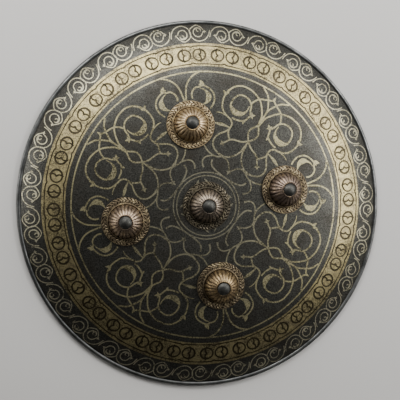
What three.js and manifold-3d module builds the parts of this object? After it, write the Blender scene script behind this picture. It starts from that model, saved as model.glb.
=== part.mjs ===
// Small round steel shield with a rolled rim, five fluted bosses and four strap rings behind.
// Millimetres, +Z up. The shield lies on its rim with the domed face up, and the origin is the
// centre of the plane that the rim rests on. The four outer bosses stand on the X and Y axes.

import * as THREE from 'three';
import { mergeVertices } from 'three/addons/utils/BufferGeometryUtils.js';
import Module from 'manifold-3d';

const wasm = await Module();
wasm.setup();

// Plate: a flat crown arc that turns tangentially into a tighter shoulder arc
const outerDiameter = 400;
const plateHeight = 47;
const plateThickness = 1.6;
const crownRadius = 650;
const shoulderRadius = 146;
const rimRollDiameter = 5;
const rimFlatWidth = 2.6;

// Bosses: cast shells, a fluted dome on a round flange with a bead at the dome's foot
const bossRingRadius = 88;
const flangeDiameter = 52;
const flangeEdgeThickness = 1.2;
const flangeEdgeChamfer = 0.7;
const flangeRise = 0.9;
const beadWidth = 1.6;
const beadRise = 1.1;
const domeDiameter = 36.4;
const domeRise = 16.5;
const fluteCount = 24;
const fluteDepth = 1.1;
const bossWall = 1.8;

// Bolts: a domed head on the boss, a shank through boss and plate, and an eye behind
const headDiameter = 13.6;
const headRise = 3.4;
const headSeatMargin = 0.7;
const shankDiameter = 4.4;
const collarDiameter = 8.4;
const collarThickness = 1.5;
const eyeWireDiameter = 3;
const eyeHoleDiameter = 6.4;
const roveDiameter = 16;
const roveThickness = 1.5;
const tailDiameter = 9;
const tailThickness = 1.8;

// Strap rings: loose in the eyes, hanging straight down where the plate stands high enough
const ringMeanDiameter = 21;
const ringWireDiameter = 3.2;
const ringFloorClearance = 5;

// Clearances between pieces that touch
const seatGap = 0.3;
const shankGap = 0.3;

// Facets in a full turn
const plateSegments = 48;
const flangeSegments = 24;
const barSegments = 10;
const ringSegments = 12;
const wireSides = 6;

const steel = { color: 0x3a3d40, roughness: 0.5, metalness: 1.0 };
const giltCopper = { color: 0x8a6248, roughness: 0.55, metalness: 1.0 };
const forgedIron = { color: 0x35322f, roughness: 0.6, metalness: 1.0 };

// Values worked out from the sizes above
const rimRollRadius = rimRollDiameter / 2;
const rollCentre = new THREE.Vector2(
  outerDiameter / 2 - rimRollRadius,
  Math.sqrt(rimRollRadius ** 2 - (rimFlatWidth / 2) ** 2),
);
const crownCentreHeight = plateHeight - crownRadius;
const shoulderCentre = findShoulderCentre();
const breakAngle = Math.atan2(shoulderCentre.x, shoulderCentre.y - crownCentreHeight);
const breakRadius = crownRadius * Math.sin(breakAngle);
const domeRadius = domeDiameter / 2;
const headRadius = headDiameter / 2;
const shankRadius = shankDiameter / 2;
const boreRadius = shankRadius + shankGap;
const flangeTop = flangeEdgeThickness + flangeRise;
const headSeatRadius = headRadius + headSeatMargin;
const headSeatHeight = flangeTop + domeRise * Math.sqrt(1 - (headSeatRadius / domeRadius) ** 2);
const roveTop = -plateThickness - crownDrop(roveDiameter / 2) - seatGap;
const collarTop = roveTop - roveThickness - seatGap;
const eyeMeanRadius = (eyeHoleDiameter + eyeWireDiameter) / 2;
const eyeCentre = collarTop - collarThickness - eyeMeanRadius;
const ringMeanRadius = ringMeanDiameter / 2;
const ringTopBelowEye = (eyeHoleDiameter - ringWireDiameter) / 2 - seatGap;

// The height that the crown has lost at a distance from its axis
function crownDrop(distance) {
  return crownRadius - Math.sqrt(crownRadius ** 2 - distance ** 2);
}

// The shoulder arc touches the crown arc from inside and runs to the centre of the rim's roll
function findShoulderCentre() {
  const fromCrown = crownRadius - shoulderRadius;
  const toRoll = new THREE.Vector2(rollCentre.x, rollCentre.y - crownCentreHeight);
  const span = toRoll.length();
  const along = (fromCrown ** 2 - shoulderRadius ** 2 + span ** 2) / (2 * span);
  const across = Math.sqrt(fromCrown ** 2 - along ** 2);
  const axis = toRoll.normalize();
  return new THREE.Vector2(
    axis.x * along - axis.y * across,
    crownCentreHeight + axis.y * along + axis.x * across,
  );
}

// The plate's outer face at a distance from the axis: its height and its slope as an angle
function outerFaceAt(distance) {
  if (distance <= breakRadius) {
    return { height: plateHeight - crownDrop(distance), slope: Math.asin(distance / crownRadius) };
  }
  const slope = Math.asin((distance - shoulderCentre.x) / shoulderRadius);
  return { height: shoulderCentre.y + shoulderRadius * Math.cos(slope), slope };
}

// Points on an arc, with angles measured from +Z towards +X
function arc(centreX, centreZ, radius, from, to, steps) {
  return Array.from({ length: steps + 1 }, (_, i) => {
    const angle = from + ((to - from) * i) / steps;
    return new THREE.Vector2(centreX + radius * Math.sin(angle), centreZ + radius * Math.cos(angle));
  });
}

function withoutRepeats(points) {
  return points.filter((point, i) => i === 0 || point.distanceTo(points[i - 1]) > 1e-6);
}

// A profile of (distance from axis, height) points turned about Z into one closed mesh
function turned(points, segments) {
  const profile = withoutRepeats(points);
  const geometry = new THREE.LatheGeometry(profile, segments);
  geometry.deleteAttribute('normal');
  geometry.deleteAttribute('uv');
  geometry.rotateX(Math.PI / 2);
  return dropEmptyFaces(mergeVertices(geometry, 1e-4));
}

// The faces that a profile's points on the axis leave without an area
function dropEmptyFaces(geometry) {
  const index = geometry.getIndex().array;
  const kept = [];
  for (let i = 0; i < index.length; i += 3) {
    const [a, b, c] = [index[i], index[i + 1], index[i + 2]];
    if (a !== b && b !== c && c !== a) kept.push(a, b, c);
  }
  geometry.setIndex(kept);
  return geometry;
}

function solidOf(geometry) {
  return new wasm.Manifold(new wasm.Mesh({
    numProp: 3,
    vertProperties: new Float32Array(geometry.getAttribute('position').array),
    triVerts: new Uint32Array(geometry.getIndex().array),
  }));
}

function geometryOf(solid) {
  const mesh = solid.getMesh();
  const geometry = new THREE.BufferGeometry();
  geometry.setAttribute('position', new THREE.BufferAttribute(mesh.vertProperties, 3));
  geometry.setIndex(new THREE.BufferAttribute(mesh.triVerts, 1));
  geometry.computeVertexNormals();
  return geometry;
}

// A round bar on the Z axis between two heights
function roundBar(radius, low, high) {
  const bar = new THREE.CylinderGeometry(radius, radius, high - low, barSegments);
  bar.deleteAttribute('normal');
  bar.deleteAttribute('uv');
  bar.rotateX(Math.PI / 2);
  bar.translate(0, 0, (low + high) / 2);
  return dropEmptyFaces(mergeVertices(bar, 1e-4));
}

// A closed ring of round wire in the XZ plane, centred at a height on the Z axis
function wireRing(meanRadius, wireRadius, height) {
  const section = arc(meanRadius, 0, wireRadius, 0, -2 * Math.PI, wireSides);
  section[wireSides].copy(section[0]);
  const ring = turned(section, ringSegments);
  ring.rotateX(Math.PI / 2);
  ring.translate(0, 0, height);
  return ring;
}

function seatTransform(distance, azimuth) {
  const face = outerFaceAt(distance);
  const tilt = new THREE.Matrix4().makeRotationY(face.slope);
  const place = new THREE.Matrix4().makeTranslation(distance, 0, face.height);
  const turn = new THREE.Matrix4().makeRotationZ(azimuth);
  return turn.multiply(place).multiply(tilt);
}

// The plate and its rolled rim in one closed profile, then the shank holes
function plateGeometry(seats) {
  const innerCrown = crownRadius - plateThickness;
  const innerShoulder = shoulderRadius - plateThickness;
  const fromShoulder = rollCentre.clone().sub(shoulderCentre);
  const rollAngle = Math.atan2(fromShoulder.x, fromShoulder.y);
  const outerMeet = rollAngle - 2 * Math.asin(rimRollRadius / (2 * shoulderRadius));
  const innerMeet = rollAngle - Math.acos(
    (innerShoulder ** 2 + shoulderRadius ** 2 - rimRollRadius ** 2)
    / (2 * shoulderRadius * innerShoulder),
  );
  const onRoll = (radius, angle) => {
    const x = shoulderCentre.x + radius * Math.sin(angle) - rollCentre.x;
    const z = shoulderCentre.y + radius * Math.cos(angle) - rollCentre.y;
    return Math.atan2(x, z);
  };
  const flatHalfAngle = Math.asin(rimFlatWidth / rimRollDiameter);
  const rollStart = onRoll(shoulderRadius, outerMeet);
  const rollEnd = onRoll(innerShoulder, innerMeet) + 2 * Math.PI;
  const outerCrownSteps = 5;
  const innerCrownSteps = 6;
  const outerShoulderSteps = 4;
  const innerShoulderSteps = 3;
  const profile = [
    ...arc(0, crownCentreHeight, crownRadius, 0, breakAngle, outerCrownSteps),
    ...arc(shoulderCentre.x, shoulderCentre.y, shoulderRadius, breakAngle, outerMeet, outerShoulderSteps),
    ...arc(rollCentre.x, rollCentre.y, rimRollRadius, rollStart, Math.PI - flatHalfAngle, 5),
    ...arc(rollCentre.x, rollCentre.y, rimRollRadius, Math.PI + flatHalfAngle, rollEnd, 2),
    ...arc(shoulderCentre.x, shoulderCentre.y, innerShoulder, innerMeet, breakAngle, innerShoulderSteps),
    ...arc(0, crownCentreHeight, innerCrown, breakAngle, 0, innerCrownSteps),
  ];
  let plate = solidOf(turned(profile.reverse(), plateSegments));
  for (const seat of seats) {
    const hole = roundBar(boreRadius, -2 * plateThickness, plateThickness);
    hole.applyMatrix4(seat);
    plate = plate.subtract(solidOf(hole));
  }
  return geometryOf(plate);
}

// The dome's lathe has two facets to a flute: every second edge is drawn in as a valley
function flutedDome() {
  const topAngle = Math.acos(headSeatRadius / domeRadius);
  const steps = 3;
  const rootHeight = flangeTop - flangeRise;
  const wall = Array.from({ length: steps + 1 }, (_, i) => {
    const angle = (topAngle * i) / steps;
    return new THREE.Vector2(
      domeRadius * Math.cos(angle),
      flangeTop + domeRise * Math.sin(angle),
    );
  });
  const profile = [
    new THREE.Vector2(0, rootHeight),
    new THREE.Vector2(domeRadius, rootHeight),
    ...wall,
    new THREE.Vector2(0, headSeatHeight),
  ];
  const dome = turned(profile, 2 * fluteCount);
  const position = dome.getAttribute('position');
  const vertex = new THREE.Vector3();
  for (let i = 0; i < position.count; i += 1) {
    vertex.fromBufferAttribute(position, i);
    const share = (vertex.z - flangeTop) / (headSeatHeight - flangeTop);
    const radius = Math.hypot(vertex.x, vertex.y);
    const edge = Math.round((Math.atan2(vertex.y, vertex.x) * fluteCount) / Math.PI);
    if (share > 0.001 && share < 0.999 && edge % 2 !== 0) {
      const depth = fluteDepth * Math.sqrt(Math.sin(Math.PI * share));
      vertex.x *= (radius - depth) / radius;
      vertex.y *= (radius - depth) / radius;
      position.setXYZ(i, vertex.x, vertex.y, vertex.z);
    }
  }
  return solidOf(dome);
}

function bossGeometry() {
  const flangeRadius = flangeDiameter / 2;
  const beadOuter = domeRadius + beadWidth;
  const recessRadius = domeRadius - fluteDepth - bossWall;
  const recessRise = headSeatHeight - bossWall - flangeTop;
  const undersideAt = (distance) => seatGap - crownDrop(distance);
  const flange = turned([
    new THREE.Vector2(0, undersideAt(0)),
    new THREE.Vector2(recessRadius, undersideAt(recessRadius)),
    new THREE.Vector2(flangeRadius, undersideAt(flangeRadius)),
    new THREE.Vector2(flangeRadius, flangeEdgeThickness),
    new THREE.Vector2(flangeRadius - flangeEdgeChamfer, flangeEdgeThickness + flangeEdgeChamfer / 2),
    new THREE.Vector2(beadOuter, flangeTop),
    new THREE.Vector2(beadOuter - beadWidth / 4, flangeTop + beadRise),
    new THREE.Vector2(domeRadius - beadWidth / 4, flangeTop + beadRise),
    new THREE.Vector2(0, flangeTop + beadRise),
  ], flangeSegments);
  const recess = turned([
    new THREE.Vector2(0, -bossWall),
    new THREE.Vector2(recessRadius, -bossWall),
    new THREE.Vector2(recessRadius, flangeTop),
    new THREE.Vector2(recessRadius * Math.cos(0.7), flangeTop + recessRise * Math.sin(0.7)),
    new THREE.Vector2(0, flangeTop + recessRise),
  ], barSegments);
  const bore = roundBar(boreRadius, 0, headSeatHeight + bossWall);
  return geometryOf(
    solidOf(flange).add(flutedDome()).subtract(solidOf(recess)).subtract(solidOf(bore)),
  );
}

// The head's half profile, from the shank's top out under the head and over it to the axis
function headProfile() {
  const underside = headSeatHeight + seatGap;
  const headCurve = (headRadius ** 2 + headRise ** 2) / (2 * headRise);
  const halfAngle = Math.asin(headRadius / headCurve);
  return [
    new THREE.Vector2(shankRadius, underside),
    ...arc(0, underside + headRise - headCurve, headCurve, halfAngle, 0, 3),
  ];
}

function ringBoltGeometry() {
  const shaft = turned([
    new THREE.Vector2(0, collarTop - collarThickness),
    new THREE.Vector2(collarDiameter / 2, collarTop - collarThickness),
    new THREE.Vector2(collarDiameter / 2, collarTop),
    new THREE.Vector2(shankRadius, collarTop),
    ...headProfile(),
  ], barSegments);
  const eye = wireRing(eyeMeanRadius, eyeWireDiameter / 2, eyeCentre);
  return geometryOf(solidOf(shaft).add(solidOf(eye)));
}

function rivetGeometry() {
  const tailTop = collarTop;
  const tailLow = tailTop - tailThickness;
  return turned([
    new THREE.Vector2(0, tailLow),
    new THREE.Vector2(tailDiameter / 2 - tailThickness / 2, tailLow),
    new THREE.Vector2(tailDiameter / 2, tailTop - tailThickness / 3),
    new THREE.Vector2(tailDiameter / 2, tailTop),
    new THREE.Vector2(shankRadius, tailTop),
    ...headProfile(),
  ], barSegments);
}

function roveGeometry() {
  const outer = roveDiameter / 2;
  const low = roveTop - roveThickness;
  return turned([
    new THREE.Vector2(boreRadius, low),
    new THREE.Vector2(outer, low),
    new THREE.Vector2(outer, roveTop),
    new THREE.Vector2(boreRadius, roveTop),
    new THREE.Vector2(boreRadius, low),
  ], barSegments);
}

// A ring hangs straight down, or leans in towards the axis where it would come near the floor
function ringLean(eyeHeight) {
  const reach = ringTopBelowEye + ringMeanDiameter;
  const room = eyeHeight - ringFloorClearance - ringWireDiameter / 2;
  return Math.acos(THREE.MathUtils.clamp(room / reach, 0, 1));
}

function named(name, geometry, look) {
  const mesh = new THREE.Mesh(geometry, new THREE.MeshStandardMaterial(look));
  mesh.name = name;
  return mesh;
}

function placed(mesh, matrix) {
  matrix.decompose(mesh.position, mesh.quaternion, mesh.scale);
  return mesh;
}

const outerPlaces = ['right', 'top', 'left', 'bottom'].map((place, i) => (
  { place, azimuth: (i * Math.PI) / 2 }
));
const centreSeat = seatTransform(0, 0);
const outerSeats = outerPlaces.map(({ azimuth }) => seatTransform(bossRingRadius, azimuth));

const shield = new THREE.Group();
shield.add(named('shield_plate', plateGeometry([centreSeat, ...outerSeats]), steel));
shield.add(placed(named('boss_centre', bossGeometry(), giltCopper), centreSeat));
shield.add(placed(named('rivet_centre', rivetGeometry(), forgedIron), centreSeat));
shield.add(placed(named('rove_centre', roveGeometry(), forgedIron), centreSeat));

outerPlaces.forEach(({ place, azimuth }, i) => {
  const seat = outerSeats[i];
  shield.add(placed(named(`boss_${place}`, bossGeometry(), giltCopper), seat));
  shield.add(placed(named(`ring_bolt_${place}`, ringBoltGeometry(), forgedIron), seat));
  shield.add(placed(named(`rove_${place}`, roveGeometry(), forgedIron), seat));
  const eye = new THREE.Vector3(0, 0, eyeCentre).applyMatrix4(seat);
  const hanger = new THREE.Group();
  hanger.position.copy(eye);
  hanger.rotation.set(0, 0, azimuth + Math.PI / 2);
  const swing = new THREE.Group();
  swing.rotation.x = -ringLean(eye.z);
  const ringCentre = -ringTopBelowEye - ringMeanRadius;
  const ring = wireRing(ringMeanRadius, ringWireDiameter / 2, ringCentre);
  swing.add(named(`strap_ring_${place}`, ring, forgedIron));
  hanger.add(swing);
  shield.add(hanger);
});

export default shield;
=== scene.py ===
"""Small round steel shield with gold damascening, five fluted bosses and strap rings behind.

The shield lies on its rim with the domed face up. Sizes are in millimetres, and every mesh is
scaled to metres when it is finished. Azimuths are in degrees, anticlockwise from +X.
"""

import logging
import math
from dataclasses import dataclass, field, replace
from enum import Enum
from functools import cached_property

import bmesh
import bpy
from bpy.types import Material, Node, NodeSocket, NodeTree
from mathutils import Matrix, Vector, noise


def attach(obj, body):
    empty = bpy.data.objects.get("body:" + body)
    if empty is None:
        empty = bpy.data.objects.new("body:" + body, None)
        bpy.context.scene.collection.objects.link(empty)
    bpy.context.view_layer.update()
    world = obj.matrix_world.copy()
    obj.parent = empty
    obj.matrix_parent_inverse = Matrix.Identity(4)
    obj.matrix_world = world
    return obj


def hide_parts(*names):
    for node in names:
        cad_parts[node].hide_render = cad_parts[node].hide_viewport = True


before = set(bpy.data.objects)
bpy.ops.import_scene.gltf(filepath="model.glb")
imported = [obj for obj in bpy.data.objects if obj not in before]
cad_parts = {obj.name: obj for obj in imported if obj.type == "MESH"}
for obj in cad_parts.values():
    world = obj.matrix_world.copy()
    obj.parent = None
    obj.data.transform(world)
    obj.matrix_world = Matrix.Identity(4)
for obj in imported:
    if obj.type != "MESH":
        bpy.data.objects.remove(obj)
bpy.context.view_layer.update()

MM = 0.001
BODY = "root"
OUTER_PLACES = {"right": 0.0, "top": 90.0, "left": 180.0, "bottom": 270.0}

# The gold is foil beaten on to the plate, and the roundels' lines are a thinner skin over it
FOIL_LIFT = 0.02
FOIL_THICKNESS = 0.06
LINE_THICKNESS = 0.03

# Points closer than this, in mm, are one point
WELD = 0.001
FOIL_WELD = 0.0005

# Sockets of a colour Mix node
MIX_A = 6
MIX_B = 7
MIX_RESULT = 2

log = logging.getLogger("shield")


def linear_colour(hex_code: str) -> tuple[float, float, float, float]:
    """Turns an sRGB hex colour to linear light.

    Args:
        hex_code: Six hex digits.

    Returns:
        Red, green, blue and an alpha of 1.
    """
    shares = [int(hex_code[i:i + 2], 16) / 255 for i in (0, 2, 4)]
    red, green, blue = (s / 12.92 if s <= 0.04045 else ((s + 0.055) / 1.055) ** 2.4 for s in shares)
    return red, green, blue, 1.0


def per_metre(size: float) -> float:
    """The scale of a texture on Object coordinates whose features are this many mm across."""
    return 1 / (size * MM)


def add_node(tree: NodeTree, kind: str, values: dict[str | int, object], **settings: object) -> Node:
    """Adds a shader node with its settings, values and links.

    Args:
        tree: The material's node tree.
        kind: The node's type name.
        values: For each input, a value or the socket that it is linked from.
        settings: Properties of the node itself.

    Returns:
        The new node.
    """
    node = tree.nodes.new(kind)
    for name, value in settings.items():
        setattr(node, name, value)
    for socket, value in values.items():
        if isinstance(value, NodeSocket):
            tree.links.new(value, node.inputs[socket])
        else:
            node.inputs[socket].default_value = value
    return node


def blank_material(name: str) -> tuple[Material, NodeTree, NodeSocket]:
    """Starts a material without nodes.

    Args:
        name: The material's name.

    Returns:
        The material, its node tree and the Object coordinates.
    """
    material = bpy.data.materials.new(name)
    material.use_nodes = True
    material.node_tree.nodes.clear()
    place = add_node(material.node_tree, "ShaderNodeTexCoord", {})
    return material, material.node_tree, place.outputs["Object"]


@dataclass(frozen=True)
class BlackenedSteel:
    """Plate steel, hammered, polished and browned to a near-black oxide.

    The oxide skin is thin, so the steel under it still mirrors soft light, and the grain of the
    hammered and crosshatched surface breaks that mirror up into a fine speckle.
    """

    name: str = "blackened_steel"
    oxide: str = "2C2D29"
    rubbed: str = "62605A"
    russet: str = "2C261E"
    russet_share: float = 0.55
    # The real grain is about 0.4 mm, too fine to show, so it is drawn at 1.3 mm
    grain: float = 1.3
    patch: float = 34.0
    hammer_mark: float = 9.0
    roughness: tuple[float, float] = (0.36, 0.48)
    metal_share: float = 0.93

    def material(self) -> Material:
        """The finish as a material."""
        material, tree, place = blank_material(self.name)
        grain = add_node(tree, "ShaderNodeTexNoise", {
            "Vector": place, "Scale": per_metre(self.grain), "Detail": 3.0, "Roughness": 0.65,
        })
        patch = add_node(tree, "ShaderNodeTexNoise", {
            "Vector": place, "Scale": per_metre(self.patch), "Detail": 4.0, "Roughness": 0.6,
        })
        hammer = add_node(tree, "ShaderNodeTexNoise", {
            "Vector": place, "Scale": per_metre(self.hammer_mark), "Detail": 1.0,
        })
        speckle = add_node(tree, "ShaderNodeMapRange", {
            "Value": grain.outputs["Fac"], "From Min": 0.35, "From Max": 0.72,
        })
        stain = add_node(tree, "ShaderNodeMapRange", {
            "Value": patch.outputs["Fac"], "From Min": 0.45, "From Max": 0.7,
        })
        skin = add_node(tree, "ShaderNodeMix", {
            0: speckle.outputs[0], MIX_A: linear_colour(self.oxide), MIX_B: linear_colour(self.rubbed),
        }, data_type="RGBA")
        stain_share = add_node(tree, "ShaderNodeMath", {
            0: stain.outputs[0], 1: self.russet_share,
        }, operation="MULTIPLY")
        base = add_node(tree, "ShaderNodeMix", {
            0: stain_share.outputs[0], MIX_A: skin.outputs[MIX_RESULT], MIX_B: linear_colour(self.russet),
        }, data_type="RGBA")
        rough = add_node(tree, "ShaderNodeMapRange", {
            "Value": patch.outputs["Fac"], "From Min": 0.3, "From Max": 0.7,
            "To Min": self.roughness[0], "To Max": self.roughness[1],
        })
        dents = add_node(tree, "ShaderNodeBump", {
            "Height": hammer.outputs["Fac"], "Strength": 0.35, "Distance": 0.25 * MM,
        })
        bump = add_node(tree, "ShaderNodeBump", {
            "Height": grain.outputs["Fac"], "Normal": dents.outputs[0], "Strength": 0.6,
            "Distance": 0.06 * MM,
        })
        shader = add_node(tree, "ShaderNodeBsdfPrincipled", {
            "Base Color": base.outputs[MIX_RESULT], "Metallic": self.metal_share,
            "Roughness": rough.outputs[0], "Normal": bump.outputs[0],
        })
        add_node(tree, "ShaderNodeOutputMaterial", {"Surface": shader.outputs[0]})
        return material


@dataclass(frozen=True)
class WornGold:
    """Gold foil hammered on to crosshatched steel, and rubbed through in specks.

    The hatching under the foil leaves it matt and grainy, and where the foil has gone, dark steel
    shows in spots of one or two millimetres. Tarnish dulls it in blotches. Within the darkening_zone,
    which is in mm from the middle, the same dark colour is mixed in more the closer to the middle.
    """

    name: str = "worn_gold_foil"
    gold: str = "938559"
    pale_gold: str = "C3B78C"
    steel: str = "3E3A2E"
    tarnish: str = "6B6453"
    speck: float = 1.5
    rub: float = 24.0
    blotch: float = 7.0
    worn_share: float = 0.41
    rub_reach: float = 0.09
    darkening_zone: tuple[float, float] = (60.0, 115.0)
    centre_darkening: float = 0.0
    patch_tarnish: float = 0.25
    roughness: float = 0.46

    def material(self) -> Material:
        """The finish as a material."""
        material, tree, place = blank_material(self.name)
        speck = add_node(tree, "ShaderNodeTexNoise", {
            "Vector": place, "Scale": per_metre(self.speck), "Detail": 3.0, "Roughness": 0.7,
        })
        rub = add_node(tree, "ShaderNodeTexNoise", {
            "Vector": place, "Scale": per_metre(self.rub), "Detail": 2.0,
        })
        blotch = add_node(tree, "ShaderNodeTexNoise", {
            "Vector": place, "Scale": per_metre(self.blotch), "Detail": 4.0, "Roughness": 0.65,
        })
        lean = add_node(tree, "ShaderNodeMapRange", {
            "Value": rub.outputs["Fac"], "From Min": 0.3, "From Max": 0.7,
            "To Min": -self.rub_reach, "To Max": self.rub_reach,
        })
        level = add_node(tree, "ShaderNodeMath", {
            0: speck.outputs["Fac"], 1: lean.outputs[0],
        }, operation="ADD")
        kept = add_node(tree, "ShaderNodeMapRange", {
            "Value": level.outputs[0], "From Min": self.worn_share - 0.1, "From Max": self.worn_share + 0.12,
        })
        distance = add_node(tree, "ShaderNodeVectorMath", {0: place}, operation="LENGTH")
        # The dark colour is mixed in more towards the middle of the field, which darkens the gold there
        darkened = add_node(tree, "ShaderNodeMapRange", {
            "Value": distance.outputs["Value"],
            "From Min": self.darkening_zone[0] * MM, "From Max": self.darkening_zone[1] * MM,
            "To Min": self.centre_darkening, "To Max": 0.0,
        })
        patchy = add_node(tree, "ShaderNodeMapRange", {
            "Value": blotch.outputs["Fac"], "From Min": 0.45, "From Max": 0.68, "To Max": self.patch_tarnish,
        })
        share = add_node(tree, "ShaderNodeMath", {
            0: darkened.outputs[0], 1: patchy.outputs[0],
        }, operation="MAXIMUM")
        clean = add_node(tree, "ShaderNodeMix", {
            0: speck.outputs["Fac"], MIX_A: linear_colour(self.gold), MIX_B: linear_colour(self.pale_gold),
        }, data_type="RGBA")
        tone = add_node(tree, "ShaderNodeMix", {
            0: share.outputs[0], MIX_A: clean.outputs[MIX_RESULT], MIX_B: linear_colour(self.tarnish),
        }, data_type="RGBA")
        base = add_node(tree, "ShaderNodeMix", {
            0: kept.outputs[0], MIX_A: linear_colour(self.steel), MIX_B: tone.outputs[MIX_RESULT],
        }, data_type="RGBA")
        bump = add_node(tree, "ShaderNodeBump", {
            "Height": speck.outputs["Fac"], "Strength": 0.5, "Distance": 0.08 * MM,
        })
        shader = add_node(tree, "ShaderNodeBsdfPrincipled", {
            "Base Color": base.outputs[MIX_RESULT], "Metallic": 1.0, "Roughness": self.roughness,
            "Normal": bump.outputs[0],
        })
        add_node(tree, "ShaderNodeOutputMaterial", {"Surface": shader.outputs[0]})
        return material


@dataclass(frozen=True)
class GiltCopper:
    """Cast and chased copper whose gilding has mostly gone.

    The crests are rubbed to a warm metallic brown, and the grooves are darkened, partly as black dirt
    and partly as painted shade in the hollows. The mesh's relief attribute runs from 0 in the grooves
    to 1 on the crests.
    """

    name: str = "worn_gilt_copper"
    dirt_and_shade: str = "17130F"
    copper: str = "615346"
    rubbed: str = "A99681"
    gilding: str = "A08A62"
    stain: float = 4.5
    grain: float = 0.9

    def material(self) -> Material:
        """The finish as a material."""
        material, tree, place = blank_material(self.name)
        relief = add_node(tree, "ShaderNodeAttribute", {}, attribute_name="relief")
        stain = add_node(tree, "ShaderNodeTexNoise", {
            "Vector": place, "Scale": per_metre(self.stain), "Detail": 3.0,
        })
        grain = add_node(tree, "ShaderNodeTexNoise", {
            "Vector": place, "Scale": per_metre(self.grain), "Detail": 2.0,
        })
        height = add_node(tree, "ShaderNodeMath", {
            0: relief.outputs["Fac"], 1: stain.outputs["Fac"],
        }, operation="ADD")
        groove = add_node(tree, "ShaderNodeMapRange", {
            "Value": height.outputs[0], "From Min": 0.55, "From Max": 1.15,
        })
        crest = add_node(tree, "ShaderNodeMapRange", {
            "Value": height.outputs[0], "From Min": 1.2, "From Max": 1.65,
        })
        gilt = add_node(tree, "ShaderNodeMapRange", {
            "Value": stain.outputs["Fac"], "From Min": 0.52, "From Max": 0.68, "To Max": 0.55,
        })
        # Grooves take the dark colour: partly dirt, partly painted shade in the hollows
        body = add_node(tree, "ShaderNodeMix", {
            0: groove.outputs[0], MIX_A: linear_colour(self.dirt_and_shade), MIX_B: linear_colour(self.copper),
        }, data_type="RGBA")
        worn = add_node(tree, "ShaderNodeMix", {
            0: crest.outputs[0], MIX_A: body.outputs[MIX_RESULT], MIX_B: linear_colour(self.rubbed),
        }, data_type="RGBA")
        gilt_share = add_node(tree, "ShaderNodeMath", {
            0: gilt.outputs[0], 1: groove.outputs[0],
        }, operation="MULTIPLY")
        base = add_node(tree, "ShaderNodeMix", {
            0: gilt_share.outputs[0], MIX_A: worn.outputs[MIX_RESULT], MIX_B: linear_colour(self.gilding),
        }, data_type="RGBA")
        rough = add_node(tree, "ShaderNodeMapRange", {
            "Value": height.outputs[0], "From Min": 0.6, "From Max": 1.6, "To Min": 0.62, "To Max": 0.42,
        })
        bump = add_node(tree, "ShaderNodeBump", {
            "Height": grain.outputs["Fac"], "Strength": 0.5, "Distance": 0.07 * MM,
        })
        shader = add_node(tree, "ShaderNodeBsdfPrincipled", {
            "Base Color": base.outputs[MIX_RESULT], "Metallic": 1.0, "Roughness": rough.outputs[0],
            "Normal": bump.outputs[0],
        })
        add_node(tree, "ShaderNodeOutputMaterial", {"Surface": shader.outputs[0]})
        return material


@dataclass(frozen=True)
class PlainIron:
    """Forged or rolled iron with a worn dark skin, used with other colours for each part.

    Two tones drift into each other over the size of a stain, and a fine grain from the scale or
    the file roughens the surface.
    """

    name: str
    dark: str
    light: str
    stain: float
    grain: float
    grain_depth: float
    roughness: tuple[float, float]

    def material(self) -> Material:
        """The finish as a material."""
        material, tree, place = blank_material(self.name)
        stain = add_node(tree, "ShaderNodeTexNoise", {
            "Vector": place, "Scale": per_metre(self.stain), "Detail": 5.0, "Roughness": 0.65,
        })
        grain = add_node(tree, "ShaderNodeTexNoise", {
            "Vector": place, "Scale": per_metre(self.grain), "Detail": 2.0,
        })
        share = add_node(tree, "ShaderNodeMapRange", {
            "Value": stain.outputs["Fac"], "From Min": 0.35, "From Max": 0.68,
        })
        base = add_node(tree, "ShaderNodeMix", {
            0: share.outputs[0], MIX_A: linear_colour(self.dark), MIX_B: linear_colour(self.light),
        }, data_type="RGBA")
        rough = add_node(tree, "ShaderNodeMapRange", {
            "Value": stain.outputs["Fac"], "From Min": 0.3, "From Max": 0.7,
            "To Min": self.roughness[1], "To Max": self.roughness[0],
        })
        bump = add_node(tree, "ShaderNodeBump", {
            "Height": grain.outputs["Fac"], "Strength": 0.5, "Distance": self.grain_depth * MM,
        })
        shader = add_node(tree, "ShaderNodeBsdfPrincipled", {
            "Base Color": base.outputs[MIX_RESULT], "Metallic": 1.0, "Roughness": rough.outputs[0],
            "Normal": bump.outputs[0],
        })
        add_node(tree, "ShaderNodeOutputMaterial", {"Surface": shader.outputs[0]})
        return material


@dataclass(frozen=True)
class StudioPaint:
    """Pale matt paint on the studio floor, with a barely visible roller grain."""

    name: str = "studio_floor_paint"
    paint: str = "BDBBB7"
    roller_grain: float = 6.0

    def material(self) -> Material:
        """The finish as a material."""
        material, tree, place = blank_material(self.name)
        grain = add_node(tree, "ShaderNodeTexNoise", {
            "Vector": place, "Scale": per_metre(self.roller_grain),
        })
        bump = add_node(tree, "ShaderNodeBump", {
            "Height": grain.outputs["Fac"], "Strength": 0.15, "Distance": 0.1 * MM,
        })
        shader = add_node(tree, "ShaderNodeBsdfPrincipled", {
            "Base Color": linear_colour(self.paint), "Roughness": 0.8, "Normal": bump.outputs[0],
        })
        add_node(tree, "ShaderNodeOutputMaterial", {"Surface": shader.outputs[0]})
        return material


# The gold is brightest on the border, dirtier on the band and darker towards the middle
BAND_GOLD = WornGold("gold_band_foil", tarnish="6A6050", patch_tarnish=0.75)
RUBBED_GOLD = WornGold(
    "rubbed_gold_foil", "8F865F", "BDB591", tarnish="74736C", worn_share=0.42, centre_darkening=0.65,
)
PALE_GOLD = WornGold("pale_gold_foil", "A19A7C", "DAD4BA", worn_share=0.39)
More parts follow.
